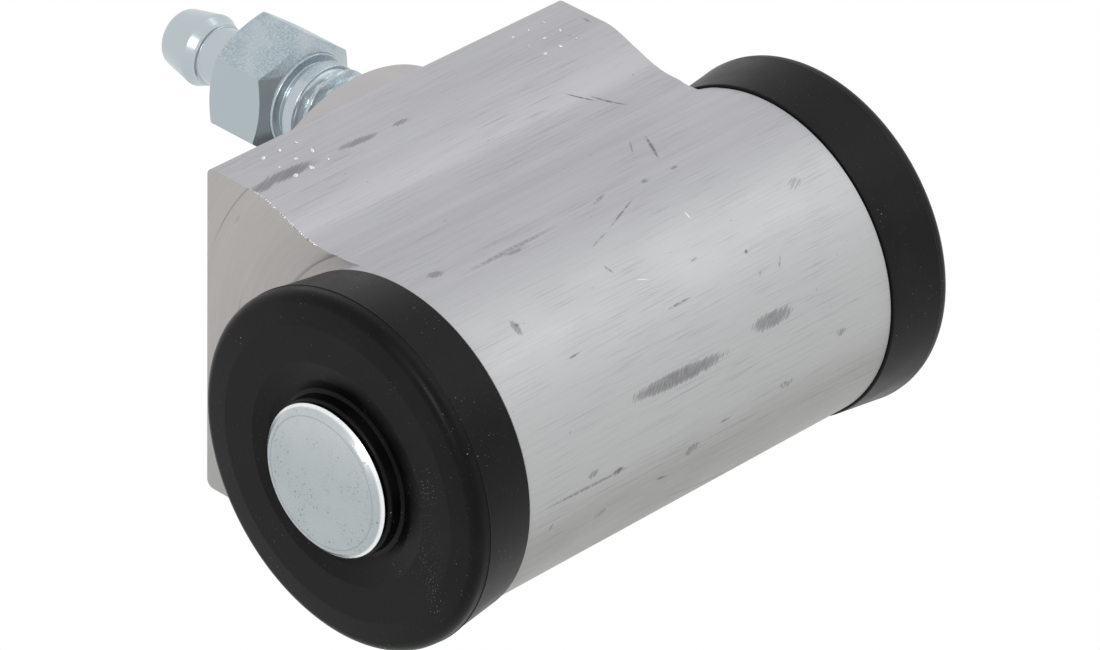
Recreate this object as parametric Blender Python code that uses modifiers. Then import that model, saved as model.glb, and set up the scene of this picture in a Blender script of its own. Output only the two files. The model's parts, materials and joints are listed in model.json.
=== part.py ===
# Wheel cylinder for a drum brake: a sawn and turned aluminium body with two
# pistons, two cup seals on a return spring, two rubber boots and a bleed screw.
# Units are metres, +Z is up. The bore runs along X, the mounting face looks along +Y,
# and the origin is the centre of the round mounting boss's end face.

import math

import bmesh
import bpy
from mathutils import Matrix, Vector

MM = 0.001

# Extruded body bar, seen along the bore
BODY_LENGTH = 39.0 * MM
BARREL_WALL = 4.605 * MM
FLANGE_DISTANCE = 22.3 * MM
FLANGE_OVERHANG = 0.62 * MM
FLANGE_THICKNESS = 6.2 * MM
SHOULDER_RUN = 5.4 * MM
WAIST_RELIEF = 1.28 * MM
WAIST_FILLET = 8.0 * MM
SHOULDER_FILLET = 5.0 * MM
CORNER_FILLET = 0.7 * MM

# Machined ends of the body
BORE_RADIUS = 9.525 * MM
BORE_CHAMFER = 0.5 * MM
SPIGOT_STEP = 0.1 * MM
SPIGOT_LENGTH = 1.0 * MM
NECK_WALL = 2.375 * MM
NECK_LENGTH = 4.0 * MM
NECK_CHAMFER = 0.4 * MM
NECK_GROOVE_DEPTH = 0.7 * MM
NECK_GROOVE_WIDTH = 1.2 * MM
NECK_LIP = 1.6 * MM

# Mounting boss with its two ports, and the fixing holes beside it
BOSS_RADIUS = 14.0 * MM
BOSS_HEIGHT = 3.2 * MM
BOSS_CHAMFER = 0.4 * MM
PORT_OFFSET_X = 1.9 * MM
PORT_OFFSET_Z = 7.6 * MM
INLET_RADIUS = 5.0 * MM
INLET_DEPTH = 10.0 * MM
INLET_SEAT_RISE = 1.4 * MM
PORT_CHAMFER = 0.5 * MM
FEED_HOLE_RADIUS = 1.25 * MM
FIXING_INSET = 4.9 * MM
FIXING_OFFSET_Z = 10.2 * MM
FIXING_RADIUS = 2.5 * MM
FIXING_DEPTH = 7.5 * MM
DRILL_POINT_SLOPE = 0.6

# Clearances between pieces
SEAT_GAP = 0.3 * MM
RUNNING_GAP = 0.08 * MM

# Piston
PISTON_INSET = 7.0 * MM
PISTON_LENGTH = 10.0 * MM
PISTON_CHAMFER = 0.4 * MM
NOSE_RADIUS = 6.4 * MM
NOSE_REACH = 9.3 * MM
NOSE_CHAMFER = 0.45 * MM
NOSE_RIM = 0.1 * MM
NOSE_GROOVE_RADIUS = 5.3 * MM

# Cup seal
CUP_LENGTH = 5.2 * MM
CUP_HEEL = 2.6 * MM
CUP_WAIST = 0.4 * MM
CUP_LIP = 1.9 * MM
CUP_LIP_EDGE = 0.9 * MM

# Spring seat and return spring
SEAT_INSET = 2.925 * MM
SEAT_SHEET = 0.6 * MM
SEAT_PIP_HEIGHT = 2.5 * MM
SPRING_INSET = 1.7 * MM
WIRE_RADIUS = 0.5 * MM
SPRING_TURNS = 5
END_TURN_PITCH = 1.15 * MM

# Rubber boot
BOOT_REAR_STAND = 0.27 * MM
BOOT_SWELL = 0.6 * MM
BOOT_SHOULDER = 2.0 * MM
BOOT_FRONT = 7.7 * MM
BOOT_WALL = 1.6 * MM
BOOT_EDGE = 0.2 * MM
BOOT_DISH = 0.4 * MM
FOLD_DEPTH = 0.12 * MM
DISH_RUN = 1.1 * MM
DISH_RISE = 1.5 * MM
RIM_LAND = 1.2 * MM
COLLAR_WALL = 1.0 * MM
COLLAR_EDGE = 0.3 * MM

# Bleed screw
THREAD_RADIUS = 4.0 * MM
THREAD_STAND = 7.6 * MM
THREAD_DEPTH = 9.0 * MM
RELIEF_DEPTH = 0.4 * MM
RELIEF_LENGTH = 1.0 * MM
HEX_FLATS = 10.0 * MM
HEX_HEIGHT = 5.8 * MM
HEX_TURN = math.radians(12.6)
HEX_EASE = 0.15 * MM
HEX_EASE_SLOPE = 0.577
NIPPLE_NECK_RADIUS = 2.45 * MM
NIPPLE_NECK_LENGTH = 4.0 * MM
BARB_RADIUS = 3.1 * MM
BARB_BAND = 0.6 * MM
BARB_LENGTH = 5.1 * MM
BARB_TIP_RADIUS = 2.2 * MM
BARB_TIP_EDGE = 0.5 * MM
STEM_RADIUS = 3.0 * MM
TIP_RADIUS = 1.0 * MM
NIPPLE_HOLE_RADIUS = 1.0 * MM
CROSS_HOLE_RADIUS = 0.7 * MM

# Facets round each turned piece
BODY_SIDES = 48
BOOT_SIDES = 44
INNER_SIDES = 32
PORT_SIDES = 24
WIRE_POINTS_PER_TURN = 12
MERGE = 0.000001
MOST_OF_EDGE = 0.45
SHARP_ANGLE = math.radians(28)

# Finishes: colour, metallic value and roughness
EXTRUDED_ALUMINIUM = ((0.62, 0.62, 0.64), 1.0, 0.42)
ZINC_PLATE = ((0.68, 0.72, 0.74), 1.0, 0.35)
SPRING_STEEL = ((0.42, 0.42, 0.43), 1.0, 0.35)
BLACK_RUBBER = ((0.02, 0.021, 0.023), 0.0, 0.55)

BARREL_RADIUS = BORE_RADIUS + BARREL_WALL
NECK_RADIUS = BORE_RADIUS + NECK_WALL
SEAT_RADIUS = BORE_RADIUS - SEAT_INSET
SPRING_RADIUS = SEAT_RADIUS - SPRING_INSET
BODY_END = BODY_LENGTH / 2
SPIGOT_END = BODY_END + SPIGOT_LENGTH
NECK_END = SPIGOT_END + NECK_LENGTH
PISTON_FACE = BODY_END - PISTON_INSET
BORE_Y = -(FLANGE_DISTANCE + BOSS_HEIGHT)
BOOT_REAR_RADIUS = BARREL_RADIUS + BOOT_REAR_STAND
BOOT_DOME_RADIUS = BOOT_REAR_RADIUS + BOOT_SWELL
PORT_BORE_RADIUS = THREAD_RADIUS + SEAT_GAP
GROOVE_FRONT = NECK_END - NECK_LIP
NOSE_FACE = BODY_END + NOSE_REACH
COLLAR_FRONT = NOSE_FACE - NOSE_CHAMFER - NOSE_RIM - SEAT_GAP

ALONG_X = (0, math.pi / 2, 0)
AGAINST_X = (0, -math.pi / 2, 0)
ALONG_Y = (-math.pi / 2, 0, 0)


def new_collection(name):
    collection = bpy.data.collections.new(name)
    bpy.context.scene.collection.children.link(collection)
    return collection


def paint(thing, finish):
    """Gives a piece its own material in one of the finishes."""
    colour, metallic, roughness = finish
    material = bpy.data.materials.new(thing.name)
    material.use_nodes = True
    shader = material.node_tree.nodes["Principled BSDF"]
    shader.inputs["Base Color"].default_value = (*colour, 1)
    shader.inputs["Metallic"].default_value = metallic
    shader.inputs["Roughness"].default_value = roughness
    thing.data.materials.append(material)


def place(name, data, collection, location=(0, 0, 0), rotation=(0, 0, 0)):
    """A new object in a collection, hung on the bore axis."""
    thing = bpy.data.objects.new(name, data)
    collection.objects.link(thing)
    thing.location = location
    thing.rotation_euler = rotation
    thing.parent = bore_axis
    return thing


def shade(mesh):
    mesh.shade_smooth()
    mesh.set_sharp_from_angle(angle=SHARP_ANGLE)


def settle(thing):
    """Turns an object's modifiers into its own plain mesh."""
    bpy.context.view_layer.update()
    graph = bpy.context.evaluated_depsgraph_get()
    mesh = bpy.data.meshes.new_from_object(thing.evaluated_get(graph))
    mesh.name = thing.name
    thing.modifiers.clear()
    thing.data = mesh
    shade(mesh)


def turned(name, outline, collection, sides, location=(0, 0, 0), rotation=(0, 0, 0), ring=False):
    """A lathe piece: outline is (radius, height) points, top to bottom down its outer side."""
    points = [(radius, 0, height) for radius, height in outline]
    edges = [(i, i + 1) for i in range(len(points) - 1)]
    if ring:
        edges.append((len(points) - 1, 0))
    mesh = bpy.data.meshes.new(name)
    mesh.from_pydata(points, edges, [])
    thing = place(name, mesh, collection, location, rotation)
    lathe = thing.modifiers.new("lathe", "SCREW")
    lathe.axis = "Z"
    lathe.angle = math.tau
    lathe.steps = sides
    lathe.render_steps = sides
    lathe.use_merge_vertices = True
    lathe.merge_threshold = MERGE
    settle(thing)
    return thing


def hide_tool(tool):
    tool.hide_render = True
    tool.display_type = "WIRE"


def combine(thing, operation, tool):
    """Joins, cuts or trims a piece with a tool, which stays as a wire guide."""
    hide_tool(tool)
    boolean = thing.modifiers.new(tool.name, "BOOLEAN")
    boolean.operation = operation
    boolean.object = tool


def arc(centre, radius, start, end, steps):
    """Points on an arc, in degrees, both ends included."""
    points = []
    for i in range(steps + 1):
        angle = math.radians(start + (end - start) * i / steps)
        points.append((centre[0] + radius * math.cos(angle), centre[1] + radius * math.sin(angle)))
    return points


def fillet(before, corner, after, radius, steps):
    """Points of the arc that rounds the corner between two straight edges."""
    corner = Vector(corner)
    back = Vector(before) - corner
    ahead = Vector(after) - corner
    half = back.angle(ahead) / 2
    reach = min(radius / math.tan(half), back.length * MOST_OF_EDGE, ahead.length * MOST_OF_EDGE)
    inward = (back.normalized() + ahead.normalized()).normalized()
    centre = corner + inward * reach / math.cos(half)
    first = corner + back.normalized() * reach - centre
    last = corner + ahead.normalized() * reach - centre
    begin = math.atan2(first.y, first.x)
    sweep = (math.atan2(last.y, last.x) - begin + math.pi) % math.tau - math.pi
    return arc(centre, first.length, math.degrees(begin), math.degrees(begin + sweep), steps)


def bar_outline():
    """The extruded bar's section as (y, z) points round the bore axis."""
    flange_top = BARREL_RADIUS + FLANGE_OVERHANG
    waist_top = BARREL_RADIUS - WAIST_RELIEF
    shoulder = FLANGE_DISTANCE - FLANGE_THICKNESS
    foot = shoulder - SHOULDER_RUN
    throat_z = waist_top + WAIST_FILLET
    throat_y = math.sqrt((BARREL_RADIUS + WAIST_FILLET) ** 2 - throat_z**2)
    leave = math.degrees(math.atan2(throat_z, throat_y))
    top = [(FLANGE_DISTANCE, 0), (FLANGE_DISTANCE, flange_top), (shoulder, flange_top), (foot, waist_top)]
    half = fillet(top[0], top[1], top[2], CORNER_FILLET, 3)
    half += fillet(top[1], top[2], top[3], SHOULDER_FILLET, 3)
    half += fillet(top[2], top[3], (throat_y, waist_top), WAIST_FILLET, 3)
    half += arc((throat_y, throat_z), WAIST_FILLET, 270, leave + 180, 3)
    half += arc((0, 0), BARREL_RADIUS, leave, 180, 16)[1:]
    return half + [(y, -z) for y, z in reversed(half[:-1])]


def extruded_bar():
    curve = bpy.data.curves.new("bar_outline", "CURVE")
    curve.dimensions = "2D"
    curve.fill_mode = "BOTH"
    curve.extrude = BODY_LENGTH / 2
    outline = bar_outline()
    spline = curve.splines.new("POLY")
    spline.points.add(len(outline) - 1)
    for point, (y, z) in zip(spline.points, outline):
        point.co = (y, z, 0, 1)
    spline.use_cyclic_u = True
    bar = place("bar_outline", curve, tools, rotation=(math.pi / 2, 0, math.pi / 2))
    bpy.context.view_layer.update()
    graph = bpy.context.evaluated_depsgraph_get()
    mesh = bpy.data.meshes.new_from_object(bar.evaluated_get(graph))
    weld(mesh)
    body = place("cylinder_body", mesh, parts, rotation=bar.rotation_euler)
    bpy.data.objects.remove(bar)
    return body


def weld(mesh):
    cage = bmesh.new()
    cage.from_mesh(mesh)
    bmesh.ops.remove_doubles(cage, verts=cage.verts, dist=MERGE)
    bmesh.ops.recalc_face_normals(cage, faces=cage.faces)
    cage.to_mesh(mesh)
    cage.free()


def turned_ends():
    """The spigots and necks that the lathe leaves at both ends of the bar."""
    spigot_radius = BARREL_RADIUS - SPIGOT_STEP
    floor = NECK_RADIUS - NECK_GROOVE_DEPTH
    right = [
        (0, NECK_END),
        (NECK_RADIUS - NECK_CHAMFER, NECK_END),
        (NECK_RADIUS, NECK_END - NECK_CHAMFER),
        (NECK_RADIUS, GROOVE_FRONT),
        (floor, GROOVE_FRONT),
        (floor, GROOVE_FRONT - NECK_GROOVE_WIDTH),
        (NECK_RADIUS, GROOVE_FRONT - NECK_GROOVE_WIDTH),
        (NECK_RADIUS, SPIGOT_END),
        (spigot_radius, SPIGOT_END),
    ]
    outline = right + [(radius, -x) for radius, x in reversed(right)]
    return turned("turned_ends", outline, tools, BODY_SIDES, rotation=ALONG_X)


def bore_tool():
    mouth = BORE_RADIUS + BORE_CHAMFER
    past = NECK_END + BORE_CHAMFER
    right = [(0, past), (mouth + BORE_CHAMFER, past), (BORE_RADIUS, NECK_END - BORE_CHAMFER)]
    outline = right + [(radius, -x) for radius, x in reversed(right)]
    return turned("bore", outline, tools, BODY_SIDES, rotation=ALONG_X)


def boss():
    root = BOSS_HEIGHT + FLANGE_THICKNESS / 2
    outline = [
        (0, 0),
        (BOSS_RADIUS - BOSS_CHAMFER, 0),
        (BOSS_RADIUS, -BOSS_CHAMFER),
        (BOSS_RADIUS, -root),
        (0, -root),
    ]
    return turned("boss", outline, tools, BODY_SIDES, location=(0, -BORE_Y, 0), rotation=ALONG_Y)


def feed_reach(offset_z):
    """How deep a drilling from the boss face must go to open into the bore."""
    return -BORE_Y - math.sqrt(BORE_RADIUS**2 - offset_z**2) + FEED_HOLE_RADIUS


def inlet_tool():
    """Tube-nut port whose floor rises to a seat for the pipe's flare."""
    rim = INLET_RADIUS + PORT_CHAMFER
    seat = INLET_DEPTH - INLET_SEAT_RISE
    outline = [
        (0, PORT_CHAMFER),
        (rim + PORT_CHAMFER, PORT_CHAMFER),
        (INLET_RADIUS, -PORT_CHAMFER),
        (INLET_RADIUS, -INLET_DEPTH),
        (FEED_HOLE_RADIUS + INLET_SEAT_RISE, -INLET_DEPTH),
        (FEED_HOLE_RADIUS, -seat),
        (FEED_HOLE_RADIUS, -feed_reach(PORT_OFFSET_Z)),
        (0, -feed_reach(PORT_OFFSET_Z)),
    ]
    place_at = (-PORT_OFFSET_X, -BORE_Y, -PORT_OFFSET_Z)
    return turned("inlet_port", outline, tools, PORT_SIDES, location=place_at, rotation=ALONG_Y)


def bleed_port_tool():
    """Bleed port: a plain bore for the thread, then a cone that the screw's tip closes."""
    rim = PORT_BORE_RADIUS + PORT_CHAMFER
    floor = port_floor()
    cone_end = floor + PORT_BORE_RADIUS - FEED_HOLE_RADIUS
    outline = [
        (0, PORT_CHAMFER),
        (rim + PORT_CHAMFER, PORT_CHAMFER),
        (PORT_BORE_RADIUS, -PORT_CHAMFER),
        (PORT_BORE_RADIUS, -floor),
        (FEED_HOLE_RADIUS, -cone_end),
        (FEED_HOLE_RADIUS, -feed_reach(PORT_OFFSET_Z)),
        (0, -feed_reach(PORT_OFFSET_Z)),
    ]
    place_at = (PORT_OFFSET_X, -BORE_Y, PORT_OFFSET_Z)
    return turned("bleed_port", outline, tools, PORT_SIDES, location=place_at, rotation=ALONG_Y)


def port_floor():
    return THREAD_DEPTH + 2 * SEAT_GAP


def fixing_tool(name, side):
    """Tapped hole for one of the two screws that hold the cylinder to its backplate."""
    outline = [
        (0, PORT_CHAMFER),
        (FIXING_RADIUS + 2 * PORT_CHAMFER, PORT_CHAMFER),
        (FIXING_RADIUS, -PORT_CHAMFER),
        (FIXING_RADIUS, -FIXING_DEPTH),
        (0, -FIXING_DEPTH - DRILL_POINT_SLOPE * FIXING_RADIUS),
    ]
    offset_x = BODY_END - FIXING_INSET
    place_at = (side * offset_x, FLANGE_DISTANCE, -side * FIXING_OFFSET_Z)
    return turned(name, outline, tools, PORT_SIDES // 2, location=place_at, rotation=ALONG_Y)


def cylinder_body():
    body = extruded_bar()
    combine(body, "UNION", turned_ends())
    combine(body, "UNION", boss())
    combine(body, "DIFFERENCE", bore_tool())
    combine(body, "DIFFERENCE", inlet_tool())
    combine(body, "DIFFERENCE", bleed_port_tool())
    combine(body, "DIFFERENCE", fixing_tool("left_fixing_hole", -1))
    combine(body, "DIFFERENCE", fixing_tool("right_fixing_hole", 1))
    settle(body)
    paint(body, EXTRUDED_ALUMINIUM)


def piston(name, rotation):
    skirt = BORE_RADIUS - RUNNING_GAP
    skirt_end = PISTON_FACE + PISTON_LENGTH
    outline = [
        (0, NOSE_FACE),
        (NOSE_RADIUS - NOSE_CHAMFER, NOSE_FACE),
        (NOSE_RADIUS, NOSE_FACE - NOSE_CHAMFER),
        (NOSE_RADIUS, COLLAR_FRONT + SEAT_GAP),
        (NOSE_GROOVE_RADIUS, COLLAR_FRONT + SEAT_GAP),
        (NOSE_GROOVE_RADIUS, collar_foot() - SEAT_GAP),
        (NOSE_RADIUS, collar_foot() - SEAT_GAP),
        (NOSE_RADIUS, skirt_end),
        (skirt - PISTON_CHAMFER, skirt_end),
        (skirt, skirt_end - PISTON_CHAMFER),
        (skirt, PISTON_FACE + PISTON_CHAMFER),
        (skirt - PISTON_CHAMFER, PISTON_FACE),
        (0, PISTON_FACE),
    ]
    paint(turned(name, outline, parts, INNER_SIDES, rotation=rotation), ZINC_PLATE)


def cup_seal(name, rotation):
    """Rubber cup: a thick heel against the piston and a lip that flares to the bore."""
    heel = PISTON_FACE - SEAT_GAP
    mouth = heel - CUP_LENGTH
    wall = BORE_RADIUS - RUNNING_GAP
    waist = wall - CUP_WAIST
    outline = [
        (0, heel),
        (waist - CUP_WAIST, heel),
        (waist, heel - CUP_WAIST),
        (waist, heel - CUP_HEEL),
        (wall, mouth + CUP_WAIST),
        (wall - CUP_WAIST / 2, mouth),
        (wall - CUP_LIP_EDGE, mouth),
        (wall - CUP_LIP, heel - CUP_HEEL + CUP_WAIST / 2),
        (wall - CUP_LIP - CUP_WAIST, heel - CUP_HEEL),
        (0, heel - CUP_HEEL),
    ]
    paint(turned(name, outline, parts, INNER_SIDES, rotation=rotation), BLACK_RUBBER)


def seat_face():
    """Where the spring seat's flange faces the middle of the bore."""
    return PISTON_FACE - SEAT_GAP - CUP_HEEL - SEAT_GAP - SEAT_SHEET


def spring_seat(name, rotation):
    """Pressed steel seat: a flange in the cup, and a hollow pip that centres the spring."""
    flange = seat_face()
    top = flange + SEAT_SHEET
    pip = SPRING_RADIUS - WIRE_RADIUS - SEAT_GAP
    crown = pip - SEAT_SHEET
    outline = [
        (0, top - SEAT_PIP_HEIGHT),
        (crown - SEAT_SHEET, top - SEAT_PIP_HEIGHT),
        (pip - SEAT_SHEET, top),
        (SEAT_RADIUS, top),
        (SEAT_RADIUS, flange),
        (pip, flange),
        (crown, flange - SEAT_PIP_HEIGHT),
        (0, flange - SEAT_PIP_HEIGHT),
    ]
    paint(turned(name, outline, parts, INNER_SIDES, rotation=rotation), SPRING_STEEL)


def spring_path():
    """Helix along the bore: close end turns, and open ones between them."""
    half = seat_face() - SEAT_GAP - WIRE_RADIUS
    open_pitch = (2 * half - 2 * END_TURN_PITCH) / (SPRING_TURNS - 2)
    count = SPRING_TURNS * WIRE_POINTS_PER_TURN
    path = []
    for i in range(count + 1):
        turns = SPRING_TURNS * i / count
        start = min(turns, 1) * END_TURN_PITCH
        middle = min(max(turns - 1, 0), SPRING_TURNS - 2) * open_pitch
        end = max(turns - SPRING_TURNS + 1, 0) * END_TURN_PITCH
        angle = math.tau * turns
        across = (SPRING_RADIUS * math.cos(angle), SPRING_RADIUS * math.sin(angle))
        path.append((-half + start + middle + end, *across))
    return path


def return_spring():
    curve = bpy.data.curves.new("return_spring", "CURVE")
    curve.dimensions = "3D"
    curve.bevel_depth = WIRE_RADIUS
    curve.bevel_resolution = 2
    curve.use_fill_caps = True
    path = spring_path()
    spline = curve.splines.new("POLY")
    spline.points.add(len(path) - 1)
    for point, position in zip(spline.points, path):
        point.co = (*position, 1)
    paint(place("return_spring", curve, parts), SPRING_STEEL)


def collar_foot():
    """Where the boot's collar starts, just inside its front wall."""
    return BODY_END + BOOT_FRONT - BOOT_DISH - BOOT_WALL + FOLD_DEPTH


def boot(name, rotation):
    """Moulded boot: a band on the body's neck, a dished front and a collar on the nose."""
    rear = SPIGOT_END + SEAT_GAP
    front = BODY_END + BOOT_FRONT
    seat = NECK_RADIUS + SEAT_GAP
    bead = seat - NECK_GROOVE_DEPTH
    bead_front = GROOVE_FRONT - SEAT_GAP
    bead_rear = GROOVE_FRONT - NECK_GROOVE_WIDTH + SEAT_GAP
    shoulder = (BOOT_DOME_RADIUS - BOOT_SHOULDER, front - BOOT_SHOULDER)
    collar = NOSE_GROOVE_RADIUS + SEAT_GAP
    collar_side = collar + COLLAR_WALL
    foot = collar_foot()
    valley = shoulder[0] - FOLD_DEPTH
    cavity = BOOT_DOME_RADIUS - BOOT_WALL
    inner_front = front - BOOT_WALL
    outline = [
        (collar_side - COLLAR_EDGE, COLLAR_FRONT),
        (collar_side, COLLAR_FRONT - COLLAR_EDGE),
        (collar_side, front - BOOT_DISH),
        (collar_side + COLLAR_EDGE, front - BOOT_DISH - FOLD_DEPTH),
        (collar_side + DISH_RUN, front - BOOT_DISH / 2),
        (collar_side + DISH_RUN + DISH_RISE, front),
        (valley - RIM_LAND, front),
        (valley, front - FOLD_DEPTH),
    ]
    outline += arc(shoulder, BOOT_SHOULDER, 80, 0, 6)
    outline += [
        (BOOT_REAR_RADIUS, rear + BOOT_EDGE),
        (BOOT_REAR_RADIUS - BOOT_EDGE, rear),
        (seat, rear),
        (seat, bead_rear),
        (bead, bead_rear),
        (bead, bead_front),
        (seat, bead_front),
        (seat, NECK_END + SEAT_GAP),
        (cavity - BOOT_EDGE, shoulder[1]),
        (shoulder[0] - BOOT_EDGE, inner_front - BOOT_EDGE),
        (collar_side + DISH_RUN + DISH_RISE, inner_front),
        (collar_side + COLLAR_EDGE, foot),
        (collar, foot),
        (collar, COLLAR_FRONT),
    ]
    paint(turned(name, outline, parts, BOOT_SIDES, rotation=rotation, ring=True), BLACK_RUBBER)


def hexagon():
    """The screw's spanner hexagon, its six corners eased by a cone at each end."""
    corner = HEX_FLATS / math.sqrt(3)
    eased = HEX_FLATS / 2 - HEX_EASE
    drop = (corner - eased) * HEX_EASE_SLOPE
    top = THREAD_STAND + HEX_HEIGHT
    mesh = bpy.data.meshes.new("hexagon")
    cage = bmesh.new()
    bmesh.ops.create_cone(
        cage, cap_ends=True, segments=6, radius1=corner, radius2=corner, depth=HEX_HEIGHT,
    )
    bmesh.ops.rotate(cage, verts=cage.verts, matrix=Matrix.Rotation(HEX_TURN, 3, "Z"))
    bmesh.ops.translate(cage, verts=cage.verts, vec=(0, 0, THREAD_STAND + HEX_HEIGHT / 2))
    cage.to_mesh(mesh)
    cage.free()
    blank = place("hexagon", mesh, tools, location=SCREW_PLACE, rotation=ALONG_Y)
    spread = drop / HEX_EASE_SLOPE
    outline = [
        (0, top + drop),
        (eased - spread, top + drop),
        (corner + spread, top - 2 * drop),
        (corner + spread, THREAD_STAND + 2 * drop),
        (eased - spread, THREAD_STAND - drop),
        (0, THREAD_STAND - drop),
    ]
    easing = turned("hexagon_easing", outline, tools, BODY_SIDES, location=SCREW_PLACE, rotation=ALONG_Y)
    combine(blank, "INTERSECT", easing)
    settle(blank)
    return blank


def bleed_screw():
    """Bleed screw: conical tip, thread, hexagon and a barbed nipple, drilled for the fluid."""
    hex_top = THREAD_STAND + HEX_HEIGHT
    barb_back = hex_top + NIPPLE_NECK_LENGTH
    barb_top = barb_back + BARB_LENGTH
    cone = port_floor() + PORT_BORE_RADIUS - SEAT_GAP * math.sqrt(2)
    relief = THREAD_RADIUS - RELIEF_DEPTH
    middle = THREAD_STAND + HEX_HEIGHT / 2
    outline = [
        (0, barb_top),
        (BARB_TIP_RADIUS - BARB_TIP_EDGE, barb_top),
        (BARB_TIP_RADIUS, barb_top - BARB_TIP_EDGE),
        (BARB_RADIUS, barb_back + BARB_BAND),
        (BARB_RADIUS, barb_back + BARB_TIP_EDGE / 2),
        (NIPPLE_NECK_RADIUS, barb_back),
        (NIPPLE_NECK_RADIUS, middle),
        (relief, middle),
        (relief, THREAD_STAND - RELIEF_LENGTH),
        (THREAD_RADIUS, THREAD_STAND - RELIEF_LENGTH - RELIEF_DEPTH),
        (THREAD_RADIUS, -THREAD_DEPTH + THREAD_RADIUS - STEM_RADIUS),
        (STEM_RADIUS, -THREAD_DEPTH),
        (STEM_RADIUS, -cone + STEM_RADIUS),
        (TIP_RADIUS, -cone + TIP_RADIUS),
        (0, -cone + TIP_RADIUS),
    ]
    screw = turned(
        "bleed_screw", outline, parts, INNER_SIDES, location=SCREW_PLACE, rotation=ALONG_Y
    )
    cross_height = -(THREAD_DEPTH + cone - STEM_RADIUS) / 2
    drilling = turned(
        "nipple_drilling",
        [
            (0, barb_top + BARB_TIP_EDGE),
            (NIPPLE_HOLE_RADIUS, barb_top + BARB_TIP_EDGE),
            (NIPPLE_HOLE_RADIUS, cross_height),
            (0, cross_height - DRILL_POINT_SLOPE * NIPPLE_HOLE_RADIUS),
        ],
        tools, PORT_SIDES // 2, location=SCREW_PLACE, rotation=ALONG_Y,
    )
    cross_place = (SCREW_PLACE[0], SCREW_PLACE[1] + cross_height, SCREW_PLACE[2])
    cross = turned(
        "cross_drilling",
        [
            (0, THREAD_RADIUS),
            (CROSS_HOLE_RADIUS, THREAD_RADIUS),
            (CROSS_HOLE_RADIUS, -THREAD_RADIUS),
            (0, -THREAD_RADIUS),
        ],
        tools, PORT_SIDES // 2, location=cross_place, rotation=ALONG_X,
    )
    combine(screw, "UNION", hexagon())
    combine(screw, "DIFFERENCE", drilling)
    combine(screw, "DIFFERENCE", cross)
    settle(screw)
    paint(screw, ZINC_PLATE)


SCREW_PLACE = (PORT_OFFSET_X, -BORE_Y, PORT_OFFSET_Z)

for old in list(bpy.data.objects):
    bpy.data.objects.remove(old, do_unlink=True)

parts = new_collection("wheel_cylinder")
tools = new_collection("wheel_cylinder_tools")
bore_axis = bpy.data.objects.new("bore_axis", None)
parts.objects.link(bore_axis)
bore_axis.location = (0, BORE_Y, 0)

cylinder_body()
for hand, rotation in (("left", AGAINST_X), ("right", ALONG_X)):
    piston(hand + "_piston", rotation)
    cup_seal(hand + "_cup_seal", rotation)
    spring_seat(hand + "_spring_seat", rotation)
    boot(hand + "_boot", rotation)
return_spring()
bleed_screw()
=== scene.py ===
import json
import math

import bmesh
import bpy
from mathutils import Matrix, Vector

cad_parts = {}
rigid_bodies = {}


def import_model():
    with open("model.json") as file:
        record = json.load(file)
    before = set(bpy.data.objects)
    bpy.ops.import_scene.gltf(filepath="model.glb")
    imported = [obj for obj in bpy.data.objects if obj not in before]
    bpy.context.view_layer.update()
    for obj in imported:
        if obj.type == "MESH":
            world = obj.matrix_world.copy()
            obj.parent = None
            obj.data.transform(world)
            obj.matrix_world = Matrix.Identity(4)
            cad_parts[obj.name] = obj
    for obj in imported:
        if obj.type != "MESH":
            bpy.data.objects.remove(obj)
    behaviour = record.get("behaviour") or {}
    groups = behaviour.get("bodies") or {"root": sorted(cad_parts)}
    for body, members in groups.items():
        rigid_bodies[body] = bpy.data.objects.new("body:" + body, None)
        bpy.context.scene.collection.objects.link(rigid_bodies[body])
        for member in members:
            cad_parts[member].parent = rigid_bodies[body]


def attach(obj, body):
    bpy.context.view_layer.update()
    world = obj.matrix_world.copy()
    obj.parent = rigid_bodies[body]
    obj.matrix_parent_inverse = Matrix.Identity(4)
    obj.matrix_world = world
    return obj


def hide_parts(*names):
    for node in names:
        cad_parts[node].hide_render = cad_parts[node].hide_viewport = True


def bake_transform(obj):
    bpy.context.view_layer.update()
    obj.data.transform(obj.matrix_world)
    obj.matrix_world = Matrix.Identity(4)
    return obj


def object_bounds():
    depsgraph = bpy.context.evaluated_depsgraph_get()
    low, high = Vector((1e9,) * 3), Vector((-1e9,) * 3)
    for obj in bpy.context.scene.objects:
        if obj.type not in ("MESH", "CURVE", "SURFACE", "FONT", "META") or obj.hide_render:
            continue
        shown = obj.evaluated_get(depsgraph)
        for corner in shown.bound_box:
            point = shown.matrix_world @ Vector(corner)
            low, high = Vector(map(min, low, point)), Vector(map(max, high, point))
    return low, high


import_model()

MM = 0.001
cad_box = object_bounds()

# Viewpoint. A long lens about 0.6 m away looks down on the near end and the barrel, with
# the mounting flange behind.
lens = bpy.data.cameras.new("viewpoint")
lens.lens = 251.5
lens.sensor_width = 36
lens.clip_start = 0.05
lens.clip_end = 20
viewpoint = bpy.data.objects.new("viewpoint", lens)
bpy.context.scene.collection.objects.link(viewpoint)
right = Vector((0.69663, -0.71703, 0.02408)).normalized()
back = right.cross(Vector((0.36210, 0.38038, 0.85100))).normalized()
turn = Matrix((right, back.cross(right), back)).transposed()
viewpoint.matrix_world = Matrix.Translation((-0.375354, -0.375876, 0.318264)) @ turn.to_4x4()
bpy.context.scene.camera = viewpoint
bpy.context.scene.view_settings.view_transform = "Standard"


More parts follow.
